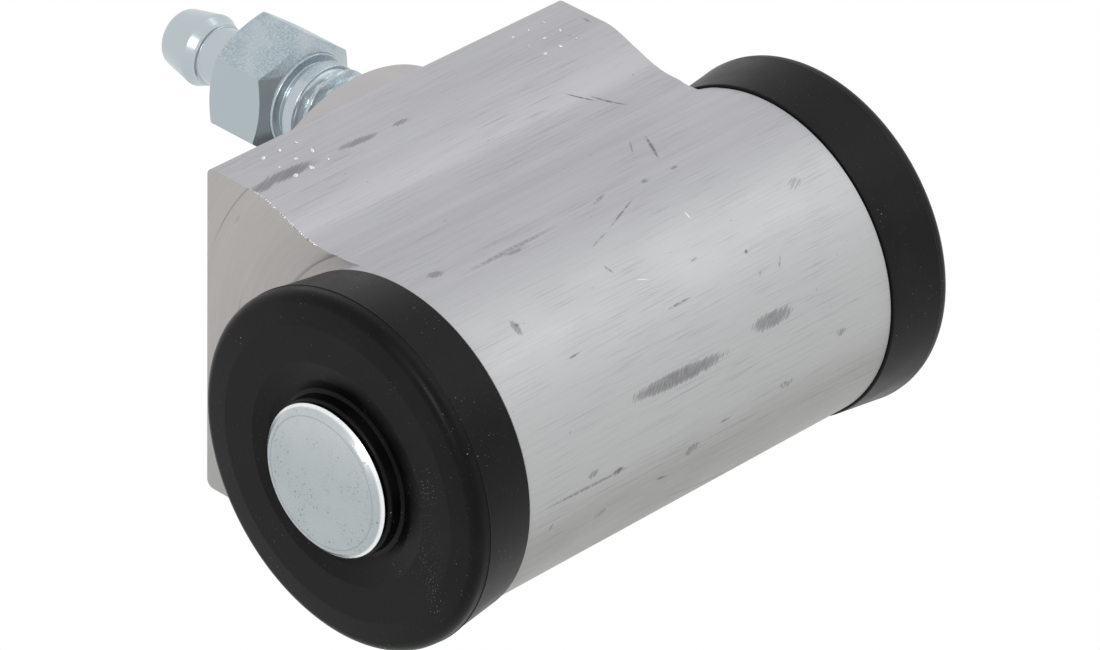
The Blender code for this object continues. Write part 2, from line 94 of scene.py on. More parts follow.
# Table and light tent. The object lies on a white sheet in a white tent, lit by a narrow
# lamp over the near end and by a broad, weaker one over the far end.
class Wiring:
    """A node tree that is written down as calls, each of which gives back a socket."""

    def __init__(self, tree):
        self.tree = tree

    def node(self, kind, *inputs, output=0, **named):
        node = self.tree.nodes.new(kind)
        later = {}
        for name, value in named.items():
            if hasattr(node, name):
                setattr(node, name, value)
            else:
                later[name] = value
        for socket, value in zip(node.inputs, inputs):
            self.put(socket, value)
        for name, value in later.items():
            self.put(node.inputs[name.replace("_", " ")], value)
        return node.outputs[output] if node.outputs else node

    def put(self, socket, value):
        if isinstance(value, bpy.types.NodeSocket):
            self.tree.links.new(value, socket)
        elif value is not None:
            socket.default_value = value

    def math(self, operation, first, second=None, third=None):
        return self.node("ShaderNodeMath", first, second, third, operation=operation)

    def between(self, value, low, high, start=0.0, end=1.0, interpolation_type="SMOOTHSTEP"):
        """The value eased from start to end while it passes from low to high."""
        return self.node(
            "ShaderNodeMapRange", value, low, high, start, end, interpolation_type=interpolation_type
        )

    def part(self, vector, letter):
        """The X, Y or Z of a vector."""
        return self.node("ShaderNodeSeparateXYZ", vector, output=letter)

    def in_view(self):
        """1 for what the camera sees, directly or by way of metal or glass, and 0 for light."""
        ways = [
            self.node("ShaderNodeLightPath", output=way)
            for way in ("Is Camera Ray", "Is Glossy Ray", "Is Transmission Ray")
        ]
        return self.math("MAXIMUM", self.math("MAXIMUM", ways[0], ways[1]), ways[2])


def light_tent():
    world = bpy.data.worlds.new("light_tent")
    bpy.context.scene.world = world
    world.use_nodes = True
    world.node_tree.nodes.clear()
    sky = Wiring(world.node_tree)
    place = sky.node("ShaderNodeTexCoord", output="Generated")
    height = sky.part(place, "Z")
    level = sky.between(height, -0.2, 1.0, 0.50, 0.84)
    tent = sky.node("ShaderNodeBackground", level)
    white = sky.node("ShaderNodeBackground", (1, 1, 1, 1))
    both = sky.node("ShaderNodeMixShader", sky.in_view(), tent, white)
    sky.node("ShaderNodeOutputWorld", both)


def table():
    low = cad_box[0][2]
    reach = 3.0
    mesh = bpy.data.meshes.new("table")
    corners = [(-reach, -reach, low), (reach, -reach, low), (reach, reach, low), (-reach, reach, low)]
    mesh.from_pydata(corners, [], [(0, 1, 2, 3)])
    sheet = bpy.data.objects.new("table", mesh)
    bpy.context.scene.collection.objects.link(sheet)
    material = bpy.data.materials.new("white_sheet")
    material.use_nodes = True
    material.node_tree.nodes.clear()
    paper = Wiring(material.node_tree)
    plain = paper.node("ShaderNodeBsdfDiffuse", (0.86, 0.86, 0.86, 1))
    white = paper.node("ShaderNodeEmission", (1, 1, 1, 1), 1.0)
    both = paper.node("ShaderNodeMixShader", paper.in_view(), plain, white)
    paper.node("ShaderNodeOutputMaterial", both)
    mesh.materials.append(material)


def lamp(name, place, size, power):
    light = bpy.data.lights.new(name, "AREA")
    light.shape = "RECTANGLE"
    light.size, light.size_y = size
    light.energy = power
    holder = bpy.data.objects.new(name, light)
    bpy.context.scene.collection.objects.link(holder)
    holder.location = place
    aim = Vector((0, -0.02, 0)) - Vector(place)
    holder.rotation_euler = aim.to_track_quat("-Z", "Y").to_euler()


light_tent()
table()
lamp("near_lamp", (-0.60, -0.30, 0.45), (0.12, 0.30), 1.5)
lamp("far_lamp", (0.55, -0.35, 0.60), (0.6, 0.6), 1.0)

# Cylinder body. A length sawn from an extruded aluminium bar, with a round barrel and a
# flange. The flange's ends are faced back and the barrel's ends turned to grooved necks. The
# bore is honed, and the flange has a turned boss with two ports, and two tapped holes.
FLANGE_END = 19.5
FLANGE_TOP = 14.75
BARREL_END = 20.5
BARREL = 14.13
BORE_Y = -25.5
BORE_RADIUS = 9.525
FLANGE_Y = -3.2
BORE_CENTRE = Vector((0, BORE_Y, 0)) * MM
BLEED_PORT = Vector((1.9, 0, 7.6)) * MM
INLET_PORT = Vector((-1.9, 0, -7.6)) * MM
FIXINGS = [Vector((-14.6, FLANGE_Y, 10.2)) * MM, Vector((14.6, FLANGE_Y, -10.2)) * MM]
RIGHT = Vector((1, 0, 0))
LEFT = Vector((-1, 0, 0))
OUT = Vector((0, 1, 0))


def rounded(corners, steps=6, closed=False):
    """An outline in metres through corners of (across, along, easing radius) in millimetres."""
    points = []
    count = len(corners)
    for i, (across, along, radius) in enumerate(corners):
        corner = Vector((across, along))
        if radius == 0 or (not closed and i in (0, count - 1)):
            points.append(corner * MM)
            continue
        before = Vector(corners[i - 1][:2]) - corner
        after = Vector(corners[(i + 1) % count][:2]) - corner
        half = before.angle(after) / 2
        sides = ((before.length, corners[i - 1][2]), (after.length, corners[(i + 1) % count][2]))
        shares = [length * 0.999 * radius / (radius + other) for length, other in sides]
        reach = min(radius / math.tan(half), *shares)
        centre = corner + (before.normalized() + after.normalized()).normalized() * reach / math.cos(half)
        first = corner + before.normalized() * reach - centre
        last = corner + after.normalized() * reach - centre
        begin = math.atan2(first.y, first.x)
        sweep = (math.atan2(last.y, last.x) - begin + math.pi) % math.tau - math.pi
        for k in range(steps + 1):
            angle = begin + sweep * k / steps
            spoke = Vector((math.cos(angle), math.sin(angle))) * first.length
            points.append((centre + spoke) * MM)
    return points


def sharp(points):
    """An outline in metres through (radius, height) points in millimetres, with no easing."""
    return [(radius * MM, height * MM) for radius, height in points]


def make_object(name, grid):
    """An object from a bmesh, with doubles merged and its faces turned outwards."""
    bmesh.ops.remove_doubles(grid, verts=grid.verts, dist=0.000002)
    bmesh.ops.dissolve_degenerate(grid, edges=grid.edges, dist=0.000001)
    bmesh.ops.recalc_face_normals(grid, faces=grid.faces)
    mesh = bpy.data.meshes.new(name)
    grid.to_mesh(mesh)
    grid.free()
    thing = bpy.data.objects.new(name, mesh)
    bpy.context.scene.collection.objects.link(thing)
    return thing


def settle(thing):
    """Turns an object's modifiers into its own plain mesh."""
    bpy.context.view_layer.update()
    graph = bpy.context.evaluated_depsgraph_get()
    mesh = bpy.data.meshes.new_from_object(thing.evaluated_get(graph))
    thing.modifiers.clear()
    thing.data = mesh


def smooth(thing, sharp=30):
    """Soft shading that keeps flats flat and edges crisp."""
    thing.data.shade_smooth()
    thing.data.set_sharp_from_angle(angle=math.radians(sharp))
    weights = thing.modifiers.new("weights", "WEIGHTED_NORMAL")
    weights.keep_sharp = True
    settle(thing)


def cut(thing, operation, tool):
    boolean = thing.modifiers.new(operation.lower(), "BOOLEAN")
    boolean.operation = operation
    boolean.solver = "EXACT"
    boolean.object = tool
    settle(thing)
    bpy.data.objects.remove(tool)


def lathe(name, outline, start, along, sides=128, ring=False):
    """Turned piece: outline is (radius, height) points along an axis from start."""
    across = Vector((0, 0, 1)) if abs(along.z) < 0.5 else Vector((1, 0, 0))
    aside = along.cross(across)
    grid = bmesh.new()
    rows = []
    for k in range(sides):
        angle = math.tau * k / sides
        spoke = across * math.cos(angle) + aside * math.sin(angle)
        rows.append([grid.verts.new(start + along * height + spoke * radius) for radius, height in outline])
    count = len(outline)
    for k in range(sides):
        here, there = rows[k], rows[(k + 1) % sides]
        for i in range(count if ring else count - 1):
            j = (i + 1) % count
            grid.faces.new([here[i], here[j], there[j], there[i]])
    return make_object(name, grid)


def bar_section():
    """The extruded bar's outline as (y, z) from the bore axis: flange, waist and barrel."""
    waist, hollow = 12.85, 8.0
    face, slope_top, slope_foot = FLANGE_Y - BORE_Y, 16.1, 10.7
    throat_steps, barrel_steps = 8, 80
    throat_z = waist + hollow
    throat_y = math.sqrt((BARREL + hollow) ** 2 - throat_z**2)
    leave = math.atan2(throat_z, throat_y)
    corners = [
        (face, 0, 0), (face, FLANGE_TOP, 0.7), (slope_top, FLANGE_TOP, 5), (slope_foot, waist, 8),
        (throat_y, waist, 0),
    ]
    half = rounded(corners, 10)
    for k in range(1, throat_steps + 1):
        angle = -math.pi / 2 + (leave - math.pi / 2) * k / throat_steps
        half.append(Vector((throat_y + hollow * math.cos(angle), throat_z + hollow * math.sin(angle))) * MM)
    for k in range(1, barrel_steps + 1):
        angle = leave + (math.pi - leave) * k / barrel_steps
        half.append(Vector((math.cos(angle), math.sin(angle))) * BARREL * MM)
    return half[1:] + [Vector((y, -z)) for y, z in reversed(half[1:-1])]


def extruded_bar():
    """The sawn bar, with its end edges just broken."""
    section = bar_section()
    broken = 0.06
    grid = bmesh.new()
    rows = []
    for x, inset in (
        (-BARREL_END, broken), (-BARREL_END + broken, 0), (BARREL_END - broken, 0), (BARREL_END, broken)
    ):
        shrink = 1 - inset / BARREL
        rows.append([grid.verts.new((x * MM, BORE_Y * MM + y * shrink, z * shrink)) for y, z in section])
    for here, there in zip(rows, rows[1:]):
        for i in range(len(section)):
            j = (i + 1) % len(section)
            grid.faces.new([here[i], here[j], there[j], there[i]])
    grid.faces.new(rows[0])
    grid.faces.new(rows[-1])
    return make_object("cylinder_body_dressed", grid)


def facing_cut():
    """What the lathe takes off a flange's end, and a little deeper next to the barrel."""
    inside, recess, beyond, wide = BARREL + 0.01, 19.38, 22, 60
    corners = [
        (inside, beyond, 0), (inside, recess, 0.05), (15.1, recess, 0.1), (15.4, FLANGE_END, 0),
        (wide, FLANGE_END, 0), (wide, beyond, 0),
    ]
    return rounded(corners, 4, closed=True)


def grooved_necks():
    """The necks with their grooves for the boots' beads, one at each end of the bar."""
    neck, groove, end, groove_outer, groove_inner = 11.9, 11.2, 24.5, 22.9, 21.7
    corners = [
        (0, end, 0), (neck, end, 0.35), (neck, groove_outer, 0.1), (groove, groove_outer, 0.1),
        (groove, groove_inner, 0.1), (neck, groove_inner, 0.1), (neck, 0, 0),
    ]
    half = rounded(corners, 4)
    return lathe("necks", half + [(r, -h) for r, h in reversed(half[:-1])], BORE_CENTRE, RIGHT, 192)


def bore():
    """The boring tool, wider at both mouths."""
    half = [(0, 25), (10.5, 25), (BORE_RADIUS, 24)]
    return lathe("bore", sharp(half + [(r, -h) for r, h in reversed(half)]), BORE_CENTRE, RIGHT, 160)


class Rule(Wiring):
    """A geometry tree with named inputs, which builds what repeats or follows a rule."""

    def __init__(self, name, **inputs):
        super().__init__(bpy.data.node_groups.new(name, "GeometryNodeTree"))
        self.entry = self.tree.nodes.new("NodeGroupInput")
        self.exit = self.tree.nodes.new("NodeGroupOutput")
        face = self.tree.interface
        self.ids = {}
        face.new_socket("Geometry", in_out="INPUT", socket_type="NodeSocketGeometry")
        face.new_socket("Geometry", in_out="OUTPUT", socket_type="NodeSocketGeometry")
        for label, kind in inputs.items():
            label = label.replace("_", " ")
            socket = face.new_socket(label, in_out="INPUT", socket_type="NodeSocket" + kind)
            self.ids[label] = socket.identifier

    def given(self, label):
        return self.entry.outputs[label]

    def random(self, low, high, seed):
        """A random vector for each point, between two vectors."""
        return self.node("FunctionNodeRandomValue", low, high, data_type="FLOAT_VECTOR", Seed=seed)

    def result(self, geometry):
        self.put(self.exit.inputs[0], geometry)

    def build(self, name, base=None, **values):
        """A plain mesh object made by the rule, from a base mesh where it needs one."""
        mesh = base or bpy.data.meshes.new(name)
        thing = bpy.data.objects.new(name, mesh)
        bpy.context.scene.collection.objects.link(thing)
        nodes = thing.modifiers.new(self.tree.name, "NODES")
        nodes.node_group = self.tree
        for label, value in values.items():
            nodes[self.ids[label.replace("_", " ")]] = value
        settle(thing)
        return thing


def screw_thread():
    """A rod with a helical ridge: a grid is rolled up round Z, its rows rising with the turn."""
    rule = Rule("screw_thread", Length="Float", Pitch="Float", Crest="Float", Root="Float", Rows="Int")
    length, pitch = rule.given("Length"), rule.given("Pitch")
    sides = 72
    sheet = rule.node("GeometryNodeMeshGrid", length, 1.0, rule.given("Rows"), sides + 1)
    place = rule.node("GeometryNodeInputPosition")
    height = rule.math("ADD", rule.part(place, "X"), rule.math("MULTIPLY", length, 0.5))
    around = rule.part(place, "Y")
    phase = rule.math("FRACT", rule.math("SUBTRACT", rule.math("DIVIDE", height, pitch), around))
    slope = rule.math("ABSOLUTE", rule.math("SUBTRACT", rule.math("MULTIPLY", phase, 2.0), 1.0))
    ridge = rule.between(slope, 0.14, 0.80, 1.0, 0.0, "LINEAR")
    to_end = rule.math("MINIMUM", height, rule.math("SUBTRACT", length, height))
    run_out = rule.between(to_end, 0.0, rule.math("MULTIPLY", pitch, 0.6))
    lift = rule.math("MULTIPLY", ridge, run_out)
    rise = rule.math("SUBTRACT", rule.given("Crest"), rule.given("Root"))
    radius = rule.math("MULTIPLY_ADD", lift, rise, rule.given("Root"))
    closed = rule.math("GREATER_THAN", to_end, rule.math("MULTIPLY", length, 0.0005))
    radius = rule.math("MULTIPLY", radius, closed)
    angle = rule.math("MULTIPLY", around, math.tau)
    x = rule.math("MULTIPLY", radius, rule.math("COSINE", angle))
    y = rule.math("MULTIPLY", radius, rule.math("SINE", angle))
    rolled_up = rule.node("ShaderNodeCombineXYZ", x, y, height)
    rolled = rule.node("GeometryNodeSetPosition", sheet, None, rolled_up)
    rule.result(rule.node("GeometryNodeMergeByDistance", rolled, Distance=0.000002))
    return rule


THREAD = screw_thread()


def threaded_rod(name, start, length, pitch, crest, root):
    """A threaded rod along the mounting face's axis, from start inwards or outwards."""
    rows_per_turn = 14
    rod = THREAD.build(
        name, Length=abs(length) * MM, Pitch=pitch * MM, Crest=crest * MM, Root=root * MM,
        Rows=int(abs(length) / pitch * rows_per_turn) + 1,
    )
    away = OUT if length > 0 else -OUT
    turn = Vector((0, 0, 1)).rotation_difference(away).to_matrix().to_4x4()
    grid = bmesh.new()
    grid.from_mesh(rod.data)
    bpy.data.objects.remove(rod)
    bmesh.ops.transform(grid, matrix=Matrix.Translation(start) @ turn, verts=grid.verts)
    return make_object(name, grid)


def drilling(start, *steps):
    """A boring tool along the mounting face's axis, from (radius, depth) steps."""
    outline = [(0, 1)] + [(radius, -depth) for radius, depth in steps] + [(0, -steps[-1][1])]
    return lathe("drilling", sharp(outline), start, OUT, 96)


def cylinder_body():
    body = extruded_bar()
    for along in (LEFT, RIGHT):
        cut(body, "DIFFERENCE", lathe("facing", facing_cut(), BORE_CENTRE, along, 192, ring=True))
    cut(body, "UNION", grooved_necks())
    rim, root = 14, -4.5
    boss = rounded([(0, 0, 0), (rim, 0, 0.4), (rim, root, 0), (0, root, 0)], 4)
    cut(body, "UNION", lathe("boss", boss, Vector((0, 0, 0)), OUT, 160))
    cut(body, "DIFFERENCE", bore())
    cut(body, "DIFFERENCE", threaded_rod(
        "inlet_thread", INLET_PORT - OUT * 0.4 * MM, length=-8.6, pitch=1.0, crest=5.0, root=4.45))
    cut(body, "DIFFERENCE", drilling(
        INLET_PORT, (6.5, -1), (4.6, 0.9), (4.6, 10), (2.65, 10), (1.25, 8.6), (1.25, 21.2)))
    cut(body, "DIFFERENCE", drilling(
        BLEED_PORT, (5.8, -1), (4.2, 0.6), (4.2, 9.6), (1.25, 12.5), (1.25, 21.2)))
    for hole in FIXINGS:
        cut(body, "DIFFERENCE", threaded_rod(
            "fixing_thread", hole - OUT * 0.25 * MM, length=-6.6, pitch=1.0, crest=3.0, root=2.5))
        cut(body, "DIFFERENCE", drilling(hole, (3.7, -0.7), (2.6, 0.4), (2.6, 7.5), (0.1, 9)))
    smooth(body)
    return body


class Finish(Wiring):
    """A procedural material, laid out over the piece's own coordinates."""

    def __init__(self, name, metallic=0.0):
        self.material = bpy.data.materials.new(name)
        self.material.use_nodes = True
        super().__init__(self.material.node_tree)
        self.shader = self.tree.nodes["Principled BSDF"].inputs
        self.shader["Metallic"].default_value = metallic
        self.place = self.node("ShaderNodeTexCoord", output="Object")
        self.normal = None

    def grain(self, size, stretch=(1, 1, 1), detail=2.0, place=None):
        """Cloudy pattern with features of a size in millimetres, drawn out where stretch is small."""
        seed = self.node("ShaderNodeVectorMath", place or self.place, stretch, operation="MULTIPLY")
        return self.node("ShaderNodeTexNoise", seed, Scale=1 / (size * MM), Detail=detail)

    def tint(self, amount, first, second):
        """A colour between two others."""
        first, second = [c if isinstance(c, bpy.types.NodeSocket) else (*c, 1) for c in (first, second)]
        return self.node("ShaderNodeMix", amount, *[None] * 5, first, second, data_type="RGBA", output=2)

    def relief(self, height, depth):
        """Adds surface relief of a depth in millimetres."""
        self.normal = self.node("ShaderNodeBump", Distance=depth * MM, Height=height, Normal=self.normal)
        self.put(self.shader["Normal"], self.normal)

    def surface(self, colour, roughness):
        self.put(self.shader["Base Color"], colour)
        self.put(self.shader["Roughness"], roughness)

    def about(self, centre, along):
        """Distance from an axis, and a pattern place that runs in circles round it."""
        off = self.node("ShaderNodeVectorMath", self.place, centre, operation="SUBTRACT")
        flat = self.node("ShaderNodeVectorMath", off, Vector((1, 1, 1)) - along, operation="MULTIPLY")
        distance = self.node("ShaderNodeVectorMath", flat, operation="LENGTH", output="Value")
        spoke = self.node("ShaderNodeVectorMath", flat, operation="NORMALIZE")
        slow = self.node("ShaderNodeVectorMath", spoke, Scale=0.0004, operation="SCALE")
        outward = self.node("ShaderNodeVectorMath", along, Scale=distance, operation="SCALE")
        return distance, self.node("ShaderNodeVectorMath", slow, outward, operation="ADD")

    def marks(self, rows):
        """Where long blots lie: each row is (start, end, half width, strength) in millimetres."""
        total = 0.0
        for start, end, width, strength in rows:
            start, end = Vector(start), Vector(end)
            middle = (start + end) / 2
            outwards = Vector((0, middle.y - BORE_Y, middle.z)) if middle.y < -17 else Vector((0, -0.1, 1))
            run = (end - start) if end != start else RIGHT
            aside = outwards.cross(run).normalized()
            frame_of_mark = Matrix((run.normalized(), aside, run.normalized().cross(aside))).transposed()
            spot = self.node(
                "ShaderNodeMapping", self.place, middle * MM, frame_of_mark.to_euler(),
                Vector(((end - start).length / 2 + width, width, 2.0)) * MM, vector_type="TEXTURE",
            )
            reach = self.node("ShaderNodeVectorMath", spot, operation="LENGTH", output="Value")
            total = self.math("MAXIMUM", total, self.between(reach, 1.0, 0.35, 0.0, strength))
        return total


# Smudges, streaks and bright nicks on the skin, as (start, end, half width, strength) rows.
SMUDGES = [
    ((-9.2, -38.8, 4.8), (2.4, -38.9, 4.5), 0.80, 1.0), ((5.3, -38.6, 5.2), (9.5, -38.6, 5.2), 0.85, 0.8),
    ((-15.8, -32.7, 12.1), (-15.7, -33.7, 11.5), 0.45, 0.7),
    ((-19.0, -8.1, 14.8), (-12.8, -8.4, 14.8), 0.85, 0.9),
    ((-19.6, -8.5, 14.8), (-17.2, -8.2, 14.8), 0.75, 0.9),
    ((-10.9, -8.3, 14.8), (-6.0, -8.7, 14.8), 0.50, 0.7), ((-4.6, -8.7, 14.8), (-2.8, -8.7, 14.8), 0.40, 0.7),
    ((-2.8, -39.4, -2.3), (-1.7, -39.5, -2.0), 0.60, 0.5), ((7.6, -39.6, -0.7), (8.9, -39.6, -0.7), 0.5, 0.4),
    ((-12.5, -39.0, -4.0), (-11.5, -39.1, -3.6), 0.45, 0.4),
    ((-13.9, -39.6, 0.5), (-13.1, -39.6, 0.7), 0.4, 0.6),
    ((14.2, -39.5, 1.4), (15.1, -39.5, 1.3), 0.45, 0.5), ((15.0, -33.2, 11.8), (16.0, -33.1, 11.9), 0.6, 0.4),
    ((-17.8, -26.0, 14.1), (-16.9, -26.2, 14.1), 0.55, 0.6),
]
STREAKS = [
    ((-20.0, -39.5, -0.2), (-8.2, -39.6, -0.5), 0.20, 0.6),
    ((-11.2, -39.6, -0.4), (-10.3, -39.6, -0.3), 0.35, 0.9),
    ((-6.0, -39.2, -3.4), (-4.4, -39.1, -3.8), 0.19, 0.8),
    ((0.6, -39.6, -1.0), (2.3, -39.6, -1.0), 0.19, 0.6),
    ((-2.4, -36.3, 9.1), (0.7, -36.3, 9.1), 0.13, 0.7), ((-5.1, -32.2, 12.4), (-4.8, -32.9, 12.0), 0.12, 0.8),
    ((10.4, -36.5, 8.8), (9.8, -37.0, 8.2), 0.12, 0.7), ((7.6, -37.0, 8.2), (7.9, -36.8, 8.5), 0.15, 0.5),
    ((-18.0, -39.4, -2.6), (-17.7, -39.4, -2.1), 0.14, 0.7),
    ((-13.0, -36.2, 9.2), (-11.8, -36.2, 9.3), 0.14, 0.6),
    ((10.3, -12.8, 13.6), (12.3, -15.0, 12.9), 0.12, 0.9),
    ((12.0, -13.9, 13.2), (13.7, -17.0, 12.8), 0.16, 0.9),
    ((10.1, -21.9, 13.6), (7.4, -26.2, 14.1), 0.20, 0.8), ((8.8, -21.6, 13.6), (6.6, -24.1, 14.1), 0.12, 0.5),
    ((7.4, -27.5, 14.0), (8.0, -27.4, 14.0), 0.22, 0.6), ((4.3, -27.3, 14.0), (4.7, -27.3, 14.0), 0.30, 0.6),
    ((2.5, -28.2, 13.8), (-2.4, -29.9, 13.4), 0.12, 0.7),
    ((-2.4, -29.9, 13.4), (-5.0, -30.6, 13.2), 0.10, 0.5),
    ((0.8, -26.6, 14.1), (-1.1, -27.1, 14.0), 0.20, 0.5),
    ((-16.3, -27.4, 14.0), (-4.7, -27.3, 14.0), 0.30, 0.45),
    ((-11.9, -27.6, 14.0), (-8.8, -27.8, 13.9), 0.30, 0.5),
    ((-5.3, -38.1, -6.4), (9.2, -35.6, -9.8), 0.22, 0.45),
    ((2.1, -34.6, 10.8), (3.0, -34.5, 10.9), 0.12, 0.5), ((18.7, -7.0, 14.7), (18.6, -7.8, 14.7), 0.2, 0.5),
    ((7.5, -35.5, 9.9), (7.5, -35.5, 9.9), 0.22, 1.6),
    ((-15.6, -33.1, 11.9), (-15.6, -33.1, 11.9), 0.30, 0.8),
]
NICKS = [
    ((4.8, -31.3, 12.9), (4.8, -32.1, 12.5), 0.07, 0.9),
    ((-3.4, -34.0, 11.3), (-2.2, -34.4, 11.0), 0.06, 0.6),
]


def extruded_skin():
    """Satin extruded skin: die lines along the bar, faint clouds, grime and scratches, with painted light and
    shade over the section.
    """
    skin = Finish("extruded_skin", 0.6)
    fine = skin.grain(0.08, (0.016, 1, 1), 1)
    broad = skin.grain(1.1, (0.012, 1, 1), 4)
    cloud = skin.grain(5, (0.5, 1, 1), 5)
    colour = skin.tint(skin.between(broad, 0.30, 0.70), (0.430, 0.430, 0.460), (0.462, 0.462, 0.484))
    height = skin.part(skin.place, "Z")
    deep = skin.part(skin.place, "Y")

    # Painted light and shade over the section, matched to the brightness seen from one side: a slightly warm
    # painted shade low down, painted light on the barrel's outer side and the slope by the waist, and painted
    # shade on the underside.
    low_painted_shade = skin.between(skin.math("MULTIPLY_ADD", cloud, 12 * MM, height), 14 * MM, 0, 0, 0.85)
    colour = skin.tint(low_painted_shade, colour, (0.335, 0.333, 0.322))
    colour = skin.tint(skin.between(deep, -26 * MM, -35 * MM, 0, 0.7), colour, (0.490, 0.493, 0.492))
    from_slope = skin.math("ABSOLUTE", skin.math("ADD", deep, 13.2 * MM))
    colour = skin.tint(skin.between(from_slope, 2.4 * MM, 0.3 * MM, 0, 0.32), colour, (0.62, 0.62, 0.64))
    colour = skin.tint(skin.between(height, 1 * MM, -4 * MM, 0, 0.45), colour, (0.255, 0.252, 0.240))

    # Die lines, dark where they are scored and bright where they are polished.
    patchy = skin.between(cloud, 0.40, 0.60, 0.35, 1.0)
    scored = skin.math("MULTIPLY", skin.between(fine, 0.57, 0.72), patchy)
    colour = skin.tint(skin.math("MULTIPLY", scored, 0.34), colour, (0.18, 0.18, 0.20))
    polished = skin.math("MULTIPLY", skin.between(fine, 0.42, 0.30), 0.22)
    colour = skin.tint(polished, colour, (0.56, 0.56, 0.57))

    # Smudges, hatched by slanting strokes, with ragged edges.
    blots = skin.marks(SMUDGES)
    toward = skin.node(
        "ShaderNodeVectorMath", skin.place, (-0.41, 0.91, 0.0), operation="DOT_PRODUCT", output="Value"
    )
    slanting = skin.node("ShaderNodeCombineXYZ", toward, skin.math("MULTIPLY", height, 0.1))
    strokes = skin.grain(0.075, place=slanting)
    ragged = skin.math("MULTIPLY", skin.math("SUBTRACT", strokes, 0.5), 2.0)
    broken = skin.between(skin.math("ADD", blots, ragged), 0.22, 0.42)
    edge = skin.math("MULTIPLY", broken, skin.between(blots, 0, 0.12))
    hatch = skin.between(strokes, 0.38, 0.58, 0.70, 1.0)
    blots = skin.math("MULTIPLY", skin.math("MULTIPLY", edge, hatch), skin.math("MULTIPLY_ADD", blots, 0.6, 0.32))

    # Scratches and loose specks, and then the nicks over all of it.
    lines = skin.math("MULTIPLY", skin.marks(STREAKS), skin.between(skin.grain(0.4), 0.35, 0.55, 0.3, 1.0))
    specks = skin.between(skin.grain(0.28, (0.5, 1, 1)), 0.74, 0.80, 0, 0.6)
    grime = skin.math("MAXIMUM", skin.math("MULTIPLY", blots, 0.80), skin.math("MAXIMUM", lines, specks))
    colour = skin.tint(skin.math("MINIMUM", grime, 0.9), colour, (0.13, 0.13, 0.135))
    colour = skin.tint(skin.marks(NICKS), colour, (0.85, 0.85, 0.85))
    skin.surface(colour, skin.between(cloud, 0.3, 0.7, 0.46, 0.56))
    skin.relief(fine, 0.004)
    skin.relief(broad, 0.008)
    return skin.material


def turned_face(name, centre, along, light, dark, scored=0.0):
    """Lathe-turned metal: faint circles and deeper arcs round the axis.

    Where scored gives a radius, one dark arc is scored there and the lower part is painted darker and cooler, as
    painted shade.
    """
    face = Finish(name, 0.6)
    distance, circles = face.about(centre, along)
    fine = face.grain(0.10, place=circles)
    broad = face.grain(0.6, place=circles, detail=3)
    cloud = face.grain(5, detail=4)
    colour = face.tint(face.between(broad, 0.1, 0.9), dark, light)
    colour = face.tint(face.between(cloud, 0.5, 0.8, 0, 0.15), colour, (0.32, 0.31, 0.29))
    arcs = face.math("MULTIPLY", face.between(broad, 0.64, 0.70), face.between(cloud, 0.48, 0.60, 0, 0.45))
    colour = face.tint(arcs, colour, (0.20, 0.19, 0.17))
    if scored:
        off = face.math("ABSOLUTE", face.math("SUBTRACT", distance, scored * MM))
        height = face.part(face.place, "Z")
        # Painted shade: the face is painted darker and cooler towards its bottom.
        colour = face.tint(face.between(height, 5 * MM, -12 * MM, 0, 0.6), colour, (0.37, 0.385, 0.385))
        upper = face.between(height, 7 * MM, 11 * MM, 0, 0.55)
        line = face.math("MULTIPLY", face.between(off, 0.12 * MM, 0), upper)
        colour = face.tint(line, colour, (0.16, 0.16, 0.15))
    face.surface(colour, face.between(fine, 0.3, 0.7, 0.40, 0.52))
    face.relief(fine, 0.004)
    return face.material


def dress_body():
    body = cylinder_body()
    body.data.materials.clear()
    warm_light, warm_dark = (0.472, 0.446, 0.436), (0.432, 0.410, 0.398)
    for material in (
        extruded_skin(),
        turned_face("turned_ends", BORE_CENTRE, RIGHT, warm_light, warm_dark, 23.05),
        turned_face("turned_boss", Vector((0, 0, 0)), OUT, (0.47, 0.46, 0.46), (0.43, 0.42, 0.42)),
        turned_face("honed_bore", BORE_CENTRE, RIGHT, (0.6, 0.6, 0.6), (0.5, 0.5, 0.5)),
    ):
        body.data.materials.append(material)
    skin, ends, boss, honed = range(4)
    wells = [(INLET_PORT, 5.6), (BLEED_PORT, 5.0)] + [(hole, 3.4) for hole in FIXINGS]
    for face in body.data.polygons:
        x, y, z = face.center / MM
        from_bore = math.hypot(y - BORE_Y, z)
        in_well = any(math.hypot(x - w.x / MM, z - w.z / MM) < radius for w, radius in wells)
        if from_bore < BORE_RADIUS + 0.01:
            face.material_index = honed
        elif y > FLANGE_Y + 0.01 or (in_well and y > BORE_Y + BORE_RADIUS and abs(z) < 14.5):
            face.material_index = boss if y > FLANGE_Y - 12 else honed
        elif abs(face.normal.x) > 0.6 or from_bore < BARREL - 0.5:
            face.material_index = ends
        else:
            face.material_index = skin
    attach(body, "cylinder")
    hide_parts("cylinder_body")


dress_body()


# Jaw prints and burr. The jaws that held the flange for turning left small raised dots in
# rows near both ends of its top, and sawing left a torn bright burr on the near edge.
def dot_rule():
    rule = Rule("jaw_dots", Spacing="Float", Radius="Float", Finish="Material")
    spacing = rule.given("Spacing")
    across = rule.math("MULTIPLY", spacing, 2.0)
    sheet = rule.node("GeometryNodeMeshGrid", across, across, 3, 3)
    dot = rule.node("GeometryNodeMeshIcoSphere", rule.given("Radius"), 2)
    uneven = rule.random((0.5, 0.4, 0.2), (1.3, 0.9, 0.5), 4)
    turned = rule.random((0, 0, 0), (0.4, 0.4, 6.3), 8)
    dots = rule.node("GeometryNodeInstanceOnPoints", sheet, Instance=dot, Rotation=turned, Scale=uneven)
    solid = rule.node("GeometryNodeRealizeInstances", dots)
    rule.result(rule.node("GeometryNodeSetMaterial", solid, None, rule.given("Finish")))
    return rule


